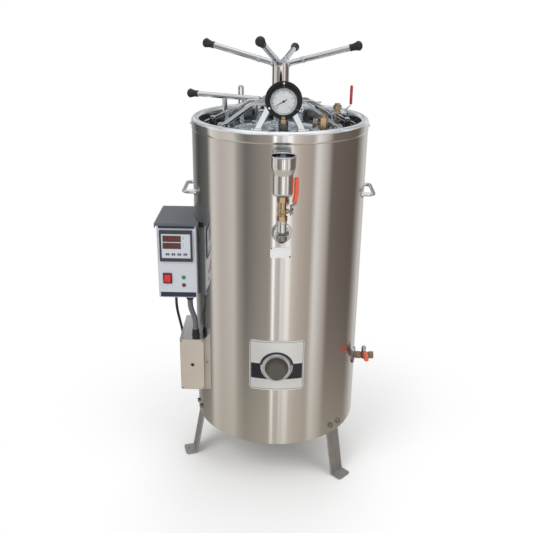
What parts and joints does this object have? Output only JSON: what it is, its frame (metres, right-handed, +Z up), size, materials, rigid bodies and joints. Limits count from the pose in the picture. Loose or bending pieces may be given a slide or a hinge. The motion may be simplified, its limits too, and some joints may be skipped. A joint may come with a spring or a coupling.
{
  "type": "vertical autoclave",
  "caption": "Upright steam autoclave with a hinged domed lid, screw-driven radial locking arms, a pressure gauge, valves, a control box and splayed legs.",
  "frame": {"origin": "centre of the three floor bolt holes, on the floor under the chamber axis", "axes": "+Z up along the chamber axis, front (gauge, inlet and selector) towards -Y, control box towards -X"},
  "size_m": [0.6562, 0.6262, 1.3082],
  "materials": {
    "jacket_steel": "brushed",
    "rim_steel": "satin",
    "ring_steel": "satin",
    "chamber_steel": "satin",
    "heater_alloy": "dull",
    "leg_paint": "satin",
    "bright_chrome": "polished",
    "lid_steel": "polished",
    "valve_brass": "satin",
    "lever_red": "glossy",
    "plate_steel": "brushed",
    "knob_grey": "matte",
    "box_grey": "satin",
    "hood_slate": "satin",
    "panel_white": "satin",
    "controller_grey": "matte",
    "black_plastic": "matte",
    "rocker_red": "glossy",
    "conduit_grey": "matte",
    "cord_black": "matte",
    "terminal_steel": "satin",
    "gasket_white": "matte",
    "gauge_black": "satin",
    "clear_glass": "clear"
  },
  "bodies": {
    "autoclave_body": {"outer_jacket": "jacket_steel", "top_collar": "rim_steel", "locking_ring": "ring_steel", "chamber": "chamber_steel", "heating_element": "heater_alloy", "basket": "chamber_steel", "legs": "leg_paint", "fasteners": "bright_chrome", "side_handles": "bright_chrome", "inlet_elbow": "bright_chrome", "inlet_valve": "valve_brass", "inlet_funnel": "bright_chrome", "drain_valve": "valve_brass", "dial_plate": "plate_steel", "control_box": "box_grey", "control_hood": "hood_slate", "front_panel": "panel_white", "controller": "controller_grey", "panel_fittings": "black_plastic", "power_conduit": "conduit_grey", "sensor_cord": "cord_black", "terminal_box": "terminal_steel", "terminal_cover": "terminal_steel", "cable_glands": "black_plastic", "hinge_bracket": "plate_steel"},
    "lid": {"lid_plate": "lid_steel", "lid_gasket": "gasket_white", "arm_brackets": "bright_chrome", "lid_lever": "bright_chrome", "lever_grip": "black_plastic", "hinge_strap": "rim_steel", "gauge_case": "gauge_black", "gauge_glass": "clear_glass", "safety_valve": "valve_brass", "vent_valve": "valve_brass", "air_cock": "valve_brass"},
    "spool": {"lock_spool": "bright_chrome"},
    "star": {"star_hub": "bright_chrome", "star_grips": "black_plastic"},
    "arm_1": {"lock_arm_1": "bright_chrome"},
    "arm_2": {"lock_arm_2": "bright_chrome"},
    "arm_3": {"lock_arm_3": "bright_chrome"},
    "arm_4": {"lock_arm_4": "bright_chrome"},
    "arm_5": {"lock_arm_5": "bright_chrome"},
    "arm_6": {"lock_arm_6": "bright_chrome"},
    "arm_7": {"lock_arm_7": "bright_chrome"},
    "arm_8": {"lock_arm_8": "bright_chrome"},
    "arm_9": {"lock_arm_9": "bright_chrome"},
    "arm_10": {"lock_arm_10": "bright_chrome"},
    "air_cock_handle": {"air_cock_handle": "bright_chrome"},
    "button_1": {"button_1": "black_plastic"},
    "button_2": {"button_2": "black_plastic"},
    "button_3": {"button_3": "black_plastic"},
    "button_4": {"button_4": "black_plastic"},
    "drain_lever": {"drain_lever": "lever_red"},
    "gauge_pointer": {"gauge_pointer": "gauge_black"},
    "inlet_lever": {"inlet_lever": "lever_red"},
    "rocker": {"rocker": "rocker_red"},
    "selector_knob": {"selector_knob": "knob_grey"},
    "vent_lever": {"vent_lever": "lever_red"}
  },
  "joints": [
    {"name": "lid_hinge", "type": "hinge", "parent": "autoclave_body", "child": "lid", "pos_m": [0, 0.284, 1.055], "axis": [-1, 0, 0], "range_deg": [0, 85]},
    {"name": "star_turn", "type": "hinge", "parent": "spool", "child": "star", "pos_m": [0, 0, 1.18], "axis": [0, 0, -1], "range_deg": [0, 1080]},
    {"name": "spool_slide", "type": "slide", "parent": "lid", "child": "spool", "axis": [0, 0, -1], "range_m": [0, 0.03585]},
    {"name": "arm_swing_1", "type": "hinge", "parent": "lid", "child": "arm_1", "pos_m": [-0.05933, -0.1826, 1.069], "axis": [-0.9511, 0.309, 0], "range_deg": [0, 13.55]},
    {"name": "arm_swing_2", "type": "hinge", "parent": "lid", "child": "arm_2", "pos_m": [0.05933, -0.1826, 1.069], "axis": [-0.9511, -0.309, 0], "range_deg": [0, 13.55]},
    {"name": "arm_swing_3", "type": "hinge", "parent": "lid", "child": "arm_3", "pos_m": [0.15533, -0.11285, 1.069], "axis": [-0.5878, -0.809, 0], "range_deg": [0, 13.55]},
    {"name": "arm_swing_4", "type": "hinge", "parent": "lid", "child": "arm_4", "pos_m": [0.192, 0, 1.069], "axis": [0, -1, 0], "range_deg": [0, 13.55]},
    {"name": "arm_swing_5", "type": "hinge", "parent": "lid", "child": "arm_5", "pos_m": [0.15533, 0.11285, 1.069], "axis": [0.5878, -0.809, 0], "range_deg": [0, 13.55]},
    {"name": "arm_swing_6", "type": "hinge", "parent": "lid", "child": "arm_6", "pos_m": [0.05933, 0.1826, 1.069], "axis": [0.9511, -0.309, 0], "range_deg": [0, 13.55]},
    {"name": "arm_swing_7", "type": "hinge", "parent": "lid", "child": "arm_7", "pos_m": [-0.05933, 0.1826, 1.069], "axis": [0.9511, 0.309, 0], "range_deg": [0, 13.55]},
    {"name": "arm_swing_8", "type": "hinge", "parent": "lid", "child": "arm_8", "pos_m": [-0.15533, 0.11285, 1.069], "axis": [0.5878, 0.809, 0], "range_deg": [0, 13.55]},
    {"name": "arm_swing_9", "type": "hinge", "parent": "lid", "child": "arm_9", "pos_m": [-0.192, 0, 1.069], "axis": [0, 1, 0], "range_deg": [0, 13.55]},
    {"name": "arm_swing_10", "type": "hinge", "parent": "lid", "child": "arm_10", "pos_m": [-0.15533, -0.11285, 1.069], "axis": [-0.5878, 0.809, 0], "range_deg": [0, 13.55]},
    {"name": "gauge_needle", "type": "hinge", "parent": "lid", "child": "gauge_pointer", "pos_m": [0.009, -0.173, 1.146], "axis": [0, 1, 0], "range_deg": [0, 270]},
    {"name": "vent_turn", "type": "hinge", "parent": "lid", "child": "vent_lever", "pos_m": [0.189, 0.052, 1.082], "axis": [1, 0, 0], "range_deg": [0, 90]},
    {"name": "air_cock_turn", "type": "hinge", "parent": "lid", "child": "air_cock_handle", "pos_m": [0.111, 0.14, 1.0923], "axis": [0, 0, 1], "continuous": true},
    {"name": "inlet_turn", "type": "hinge", "parent": "autoclave_body", "child": "inlet_lever", "pos_m": [0.0295, -0.292, 0.887], "axis": [1, 0, 0], "range_deg": [0, 90]},
    {"name": "drain_turn", "type": "hinge", "parent": "autoclave_body", "child": "drain_lever", "pos_m": [0.27397, -0.06048, 0.374], "axis": [0, 0, 1], "range_deg": [0, 90]},
    {"name": "selector_turn", "type": "hinge", "parent": "autoclave_body", "child": "selector_knob", "pos_m": [0.00305, -0.24998, 0.408], "axis": [-0.0122, 0.9999, 0], "range_deg": [0, 270]},
    {"name": "rocker_tilt", "type": "hinge", "parent": "autoclave_body", "child": "rocker", "pos_m": [-0.319, -0.127, 0.627], "axis": [1, 0, 0], "range_deg": [0, 16]},
    {"name": "key_press_1", "type": "slide", "parent": "autoclave_body", "child": "button_1", "axis": [0, 1, 0], "range_m": [0, 0.001], "stiffness_N_per_m": 300},
    {"name": "key_press_2", "type": "slide", "parent": "autoclave_body", "child": "button_2", "axis": [0, 1, 0], "range_m": [0, 0.001], "stiffness_N_per_m": 300},
    {"name": "key_press_3", "type": "slide", "parent": "autoclave_body", "child": "button_3", "axis": [0, 1, 0], "range_m": [0, 0.001], "stiffness_N_per_m": 300},
    {"name": "key_press_4", "type": "slide", "parent": "autoclave_body", "child": "button_4", "axis": [0, 1, 0], "range_m": [0, 0.001], "stiffness_N_per_m": 300}
  ],
  "couplings": [
    {"joint": "spool_slide", "follows": "star_turn", "m_per_rad": 0.0018968},
    {"joint": "arm_swing_1", "follows": "star_turn", "ratio": 0.0125},
    {"joint": "arm_swing_2", "follows": "star_turn", "ratio": 0.0125},
    {"joint": "arm_swing_3", "follows": "star_turn", "ratio": 0.0125},
    {"joint": "arm_swing_4", "follows": "star_turn", "ratio": 0.0125},
    {"joint": "arm_swing_5", "follows": "star_turn", "ratio": 0.0125},
    {"joint": "arm_swing_6", "follows": "star_turn", "ratio": 0.0125},
    {"joint": "arm_swing_7", "follows": "star_turn", "ratio": 0.0125},
    {"joint": "arm_swing_8", "follows": "star_turn", "ratio": 0.0125},
    {"joint": "arm_swing_9", "follows": "star_turn", "ratio": 0.0125},
    {"joint": "arm_swing_10", "follows": "star_turn", "ratio": 0.0125}
  ]
}
